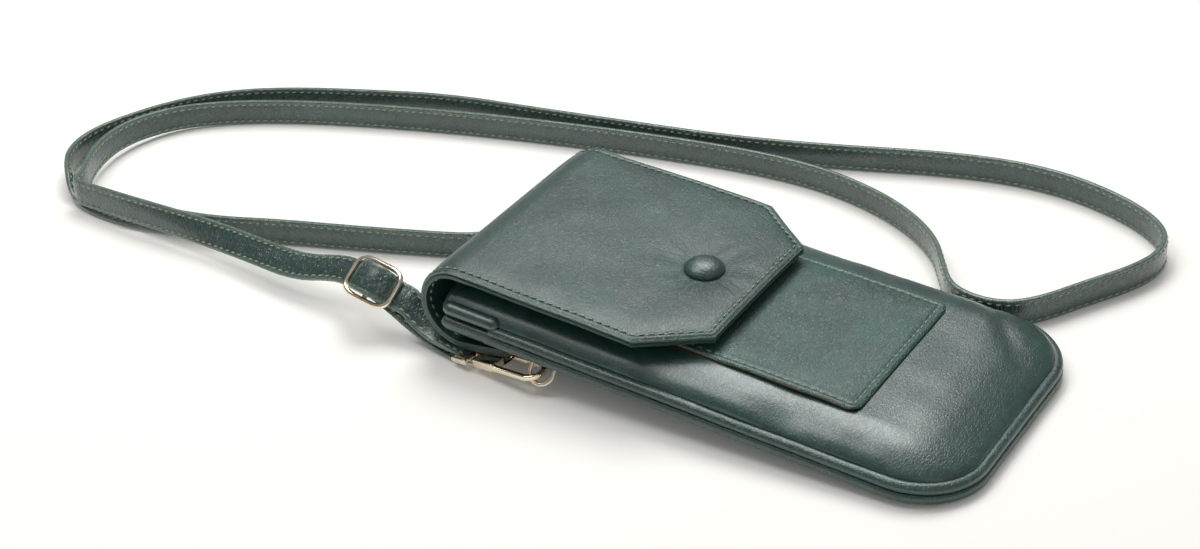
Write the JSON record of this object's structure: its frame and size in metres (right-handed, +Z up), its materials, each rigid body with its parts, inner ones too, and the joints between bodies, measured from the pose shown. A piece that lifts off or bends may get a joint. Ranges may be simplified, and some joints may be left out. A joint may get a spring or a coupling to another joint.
{
  "type": "phone pouch",
  "caption": "Slim leather phone pouch with a snap flap, a front card pocket and a long adjustable strap on two hooks.",
  "frame": {"origin": "middle of the pouch's outline without its strap, on the ground", "axes": "+X along the pouch from the flap's fold to its bottom end, +Y across it, +Z up from the ground"},
  "size_m": [0.4076, 0.1942, 0.035],
  "materials": {
    "green_leather": "matte pebbled",
    "green_lining": "matte",
    "green_strap": "matte, painted edges",
    "pale_gold_metal": "polished pale gold"
  },
  "bodies": {
    "pouch": {"back_panel": "green_leather", "piping": "green_leather", "front_panel": "green_leather", "front_lining": "green_lining", "back_lining": "green_lining", "card_pocket": "green_leather", "fold_outer": "green_leather", "fold_lining": "green_lining", "snap_stud": "pale_gold_metal", "ring_tab_near": "green_leather", "ring_tab_far": "green_leather", "hook_eye_near": "pale_gold_metal", "hook_eye_far": "pale_gold_metal", "strap_slide_run": "green_strap", "strap_near": "green_strap", "strap_loop": "green_strap", "strap_left": "green_strap", "strap_far": "green_strap", "strap_far_tail": "green_strap", "strap_lead": "green_strap", "strap_return": "green_strap", "strap_end_loop_near": "green_strap", "strap_end_loop_far": "green_strap"},
    "flap": {"flap_outer": "green_leather", "flap_lining": "green_lining", "snap_cap": "green_leather", "snap_socket": "pale_gold_metal"},
    "ring_near": {"d_ring_near": "pale_gold_metal"},
    "ring_far": {"d_ring_far": "pale_gold_metal"},
    "hook_near": {"hook_body_near": "pale_gold_metal", "gate_pin_near": "pale_gold_metal"},
    "hook_far": {"hook_body_far": "pale_gold_metal", "gate_pin_far": "pale_gold_metal"},
    "gate_near": {"hook_gate_near": "pale_gold_metal"},
    "gate_far": {"hook_gate_far": "pale_gold_metal"},
    "slider": {"slider_frame": "pale_gold_metal", "slider_bar": "pale_gold_metal", "return_loop": "green_strap", "strap_hump": "green_strap"}
  },
  "joints": [
    {"name": "flap_open", "type": "hinge", "parent": "pouch", "child": "flap", "pos_m": [-0.08342, 0, 0.01997], "axis": [0, -1, 0], "range_deg": [0, 135], "deforming": ["fold_outer", "fold_lining"]},
    {"name": "ring_near_swing", "type": "hinge", "parent": "pouch", "child": "ring_near", "pos_m": [-0.04909, -0.046, 0.00966], "axis": [0.9972, 0, -0.075], "range_deg": [0, 12]},
    {"name": "ring_far_swing", "type": "hinge", "parent": "pouch", "child": "ring_far", "pos_m": [-0.04909, 0.046, 0.00966], "axis": [-0.9972, 0, 0.075], "range_deg": [0, 12]},
    {"name": "hook_near_swivel", "type": "hinge", "parent": "pouch", "child": "hook_near", "pos_m": [-0.05353, -0.04774, 0.0064], "axis": [0.9838, -0.133, 0.1201], "range_deg": [-15, 0]},
    {"name": "hook_far_swivel", "type": "hinge", "parent": "pouch", "child": "hook_far", "pos_m": [-0.05352, 0.04937, 0.00677], "axis": [0.9781, -0.2079, -0.0105], "range_deg": [0, 15]},
    {"name": "gate_near_press", "type": "hinge", "parent": "hook_near", "child": "gate_near", "pos_m": [-0.06771, -0.04149, 0.0046], "axis": [0.1191, -0.0161, -0.9928], "range_deg": [0, 25], "stiffness_Nm_per_rad": 0.01},
    {"name": "gate_far_press", "type": "hinge", "parent": "hook_far", "child": "gate_far", "pos_m": [-0.0673, 0.05669, 0.00692], "axis": [-0.0102, 0.0022, -0.9999], "range_deg": [0, 25], "stiffness_Nm_per_rad": 0.01},
    {"name": "slider_travel", "type": "slide", "parent": "pouch", "child": "slider", "axis": [-0.9879, 0.1388, 0.0698], "range_m": [0, 0.02], "deforming": ["strap_slide_run", "strap_lead", "strap_return"]}
  ]
}
